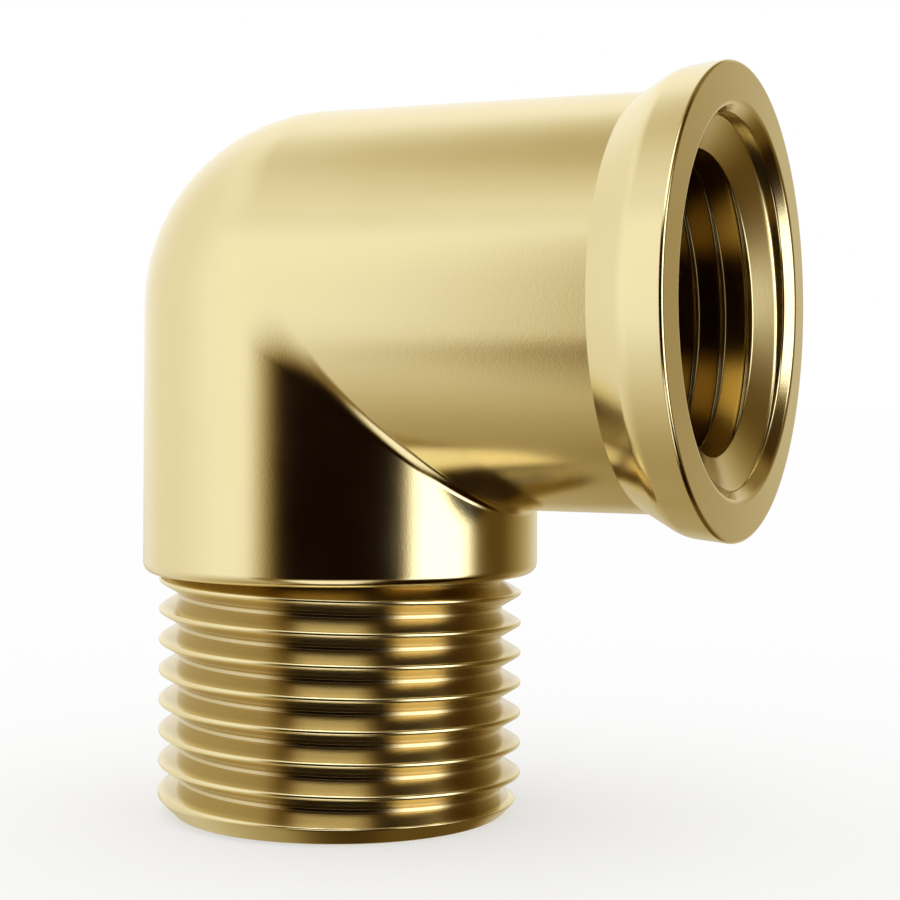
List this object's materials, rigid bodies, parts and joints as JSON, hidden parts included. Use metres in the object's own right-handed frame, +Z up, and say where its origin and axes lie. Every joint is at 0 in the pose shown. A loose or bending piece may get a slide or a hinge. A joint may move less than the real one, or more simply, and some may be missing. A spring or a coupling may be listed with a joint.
{
  "type": "pipe elbow",
  "caption": "Right-angle brass pipe elbow with a male threaded end and a flared female threaded end, for turning a water line round a corner.",
  "frame": {"origin": "centre of the male end, on the axis of the male leg", "axes": "+Z up the male leg, +X out along the female leg; the XZ plane is the mirror plane of the body"},
  "size_m": [0.0354, 0.0256, 0.0419],
  "materials": {
    "brass": "satin"
  },
  "bodies": {
    "root": {"elbow": "brass"}
  },
  "joints": []
}
